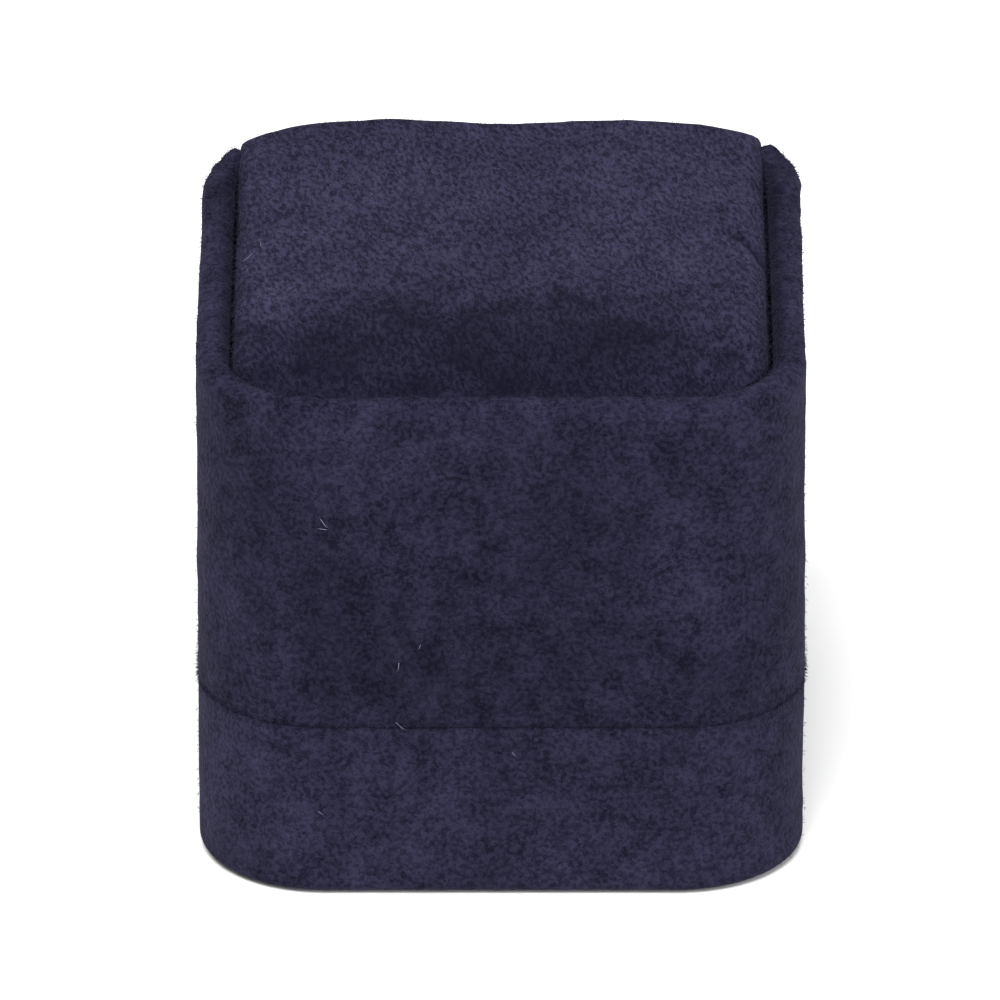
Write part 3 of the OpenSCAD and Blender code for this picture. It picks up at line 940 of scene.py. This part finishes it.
def add_lint(name, body, hairs):
    """Pale stray fibres lying on the velvet: each from a root, along a direction."""
    roots, directions = (np.array(part, float) for part in zip(*hairs))
    add_on(fibres(name, roots, directions, 0.024, 1.0, SEED + 51), lint, body)


def inset_of(piece):
    """How far inside the box's outline each vertex of a piece lies."""
    plan = coordinates(piece)[:, :2]
    return CORNER_R - np.linalg.norm(plan - np.clip(plan, -CORE, CORE), axis=1)


def wall_hairs(piece):
    """Hairs for each vertex of the wall's velvet: most along the rim and the seam."""
    z = coordinates(piece)[:, 2]
    outer = (inset_of(piece) < 0.25) | (z > RIM_Z - 1.6)
    at_rim = 1.5 * smooth(z, RIM_Z - 1.6, RIM_Z - 0.2)
    return 0.08 * outer + outer * (at_rim + 1.5 - 1.5 * smooth(z, SEAM_Z + 0.2, SEAM_Z + 1.0))


def base_hairs(piece):
    """Hairs for each vertex of the lower velvet: most along the seam."""
    outer = inset_of(piece) < 0.25
    at_seam = smooth(coordinates(piece)[:, 2], SEAM_Z - 1.2, SEAM_Z - 0.2)
    return 0.08 * outer + 1.5 * outer * at_seam


def lid_hairs(piece):
    """Hairs for each vertex of the lid's velvet: most round its upper edge."""
    points = coordinates(piece)
    top = lid_height(points[:, :2])
    on_top = points[:, 2] > top - 0.4
    rim = (inset_of(piece) > LID_INSET - 0.3) & (points[:, 2] > top - 3.5)
    return 0.2 * on_top + 2.5 * rim * (1 - on_top)


for node, material in {
    "base_shell": greyboard, "wall_shell": greyboard, "inner_frame": greyboard,
    "pad_platform": greyboard, "platform_riser": greyboard, "lid_board": greyboard,
    "bottom_felt": felt,
    "hinge_body_leaf": brass, "hinge_lid_leaf": brass, "hinge_pin": brass,
    "lid_rivets": brass, "snap_spring": steel,
}.items():
    dress(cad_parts[node], material)

wall = wall_cover()
place_piece(wall, outer_velvet, "box", "wall_velvet")
base = base_cover()
place_piece(base, band_velvet, "box", "base_velvet")
place_piece(lining_cover(), satin_cloth, "box", "inner_lining")
place_piece(rivet_heads(), brass, "box", "body_rivets")
for cover, cover_node, core, core_node in ring_pads():
    place_piece(cover, pad_velvet, "box", cover_node)
    place_piece(core, foam, "box", core_node)

lid = lid_cover()
place_piece(lid, lid_velvet, "lid", "lid_velvet")
add_fringe("wall_pile", wall, "box", wall_hairs(wall), SEED + 41)
add_fringe("base_pile", base, "box", base_hairs(base), SEED + 42)
add_fringe("lid_pile", lid, "lid", lid_hairs(lid), SEED + 43)
lid_core = lid_foam()
place_piece(lid_core, foam, "lid", "lid_foam")
cushion = lid_lining("lid_satin_cushion", 0.0)
place_piece(cushion, satin_cloth, "lid", "lid_lining_cover")
cushion_foam = lid_lining("lid_cushion_foam", 0.8)
place_piece(cushion_foam, foam, "lid", "lid_lining_pad")

front_y = -HALF_D - 0.12
add_lint("wall_lint", "box", [
    ((-16.2, front_y, 38.0), (0.5, -0.1, -1.3)),
    ((-15.6, front_y, 36.9), (-1.0, -0.1, 0.3)),
    ((-9.2, front_y, 23.6), (0.1, -0.1, -1.0)),
    ((-7.4, front_y, 25.0), (0.3, -0.1, 0.5)),
    ((-9.5, front_y, 17.6), (0.9, -0.1, -1.3)),
])
add_lint("base_lint", "box", [
    ((-16.5, front_y, 8.6), (0.4, -0.1, -0.5)),
    ((1.0, front_y, 14.6), (0.3, -0.1, -0.6)),
])
top_z = LID_TOP + 0.1
add_lint("lid_lint", "lid", [
    ((-22.0, 2.4, top_z), (-0.3, -2.6, 0.1)),
    ((-22.4, -0.2, top_z), (-0.7, -2.6, 0.1)),
    ((-23.1, -2.8, top_z - 0.2), (-1.0, -2.4, 0.0)),
    ((-21.2, -8.2, top_z), (0.9, -1.2, 0.1)),
    ((-19.6, -9.0, top_z), (0.7, 0.5, 0.1)),
])


# ---- Floor, light and camera ----

def area_light(name, place, size, power, target=(0, 0, 0.025)):
    data = bpy.data.lights.new(name, "AREA")
    data.shape = "DISK"
    data.size = size
    data.energy = power
    light = bpy.data.objects.new(name, data)
    light.location = place
    light.rotation_euler = (Vector(target) - Vector(place)).to_track_quat("-Z", "Y").to_euler()
    bpy.context.scene.collection.objects.link(light)


def floor():
    mesh = bpy.data.meshes.new("floor")
    mesh.from_pydata([(-3, -3, 0), (3, -3, 0), (3, 3, 0), (-3, 3, 0)], [], [(0, 1, 2, 3)])
    made = bpy.data.objects.new("floor", mesh)
    bpy.context.scene.collection.objects.link(made)
    n = Nodes("floor")
    made.data.materials.append(n.finish(n.add("BsdfDiffuse", Color=rgb(250, 250, 250))[0]))


def camera(elevation, distance, pixels_per_mm, centre):
    """A long lens, square on to the front, looking down on a point by an elevation in degrees."""
    sensor, picture = 36, 1000
    data = bpy.data.cameras.new("camera")
    data.sensor_width = sensor
    data.lens = pixels_per_mm * sensor / picture * distance / MM
    data.clip_end = 50
    made = bpy.data.objects.new("camera", data)
    tilt = math.radians(elevation)
    target = Vector(centre) * MM
    made.location = target + distance * Vector((0, -math.cos(tilt), math.sin(tilt)))
    made.rotation_euler = (math.pi / 2 - tilt, 0, 0)
    bpy.context.scene.collection.objects.link(made)
    bpy.context.scene.camera = made


floor()
camera(elevation=25.75, distance=1.45, pixels_per_mm=10.906, centre=(-0.1, 0, 25.35))
area_light("key", (-0.08, -0.35, 0.75), 0.6, 11)
area_light("fill", (0.6, -0.5, 0.3), 0.6, 3)
world = bpy.data.worlds.new("studio")
world.use_nodes = True
world.node_tree.nodes["Background"].inputs["Color"].default_value = (1, 1, 1, 1)
world.node_tree.nodes["Background"].inputs["Strength"].default_value = 0.5
bpy.context.scene.world = world
bpy.context.scene.view_settings.view_transform = "Standard"
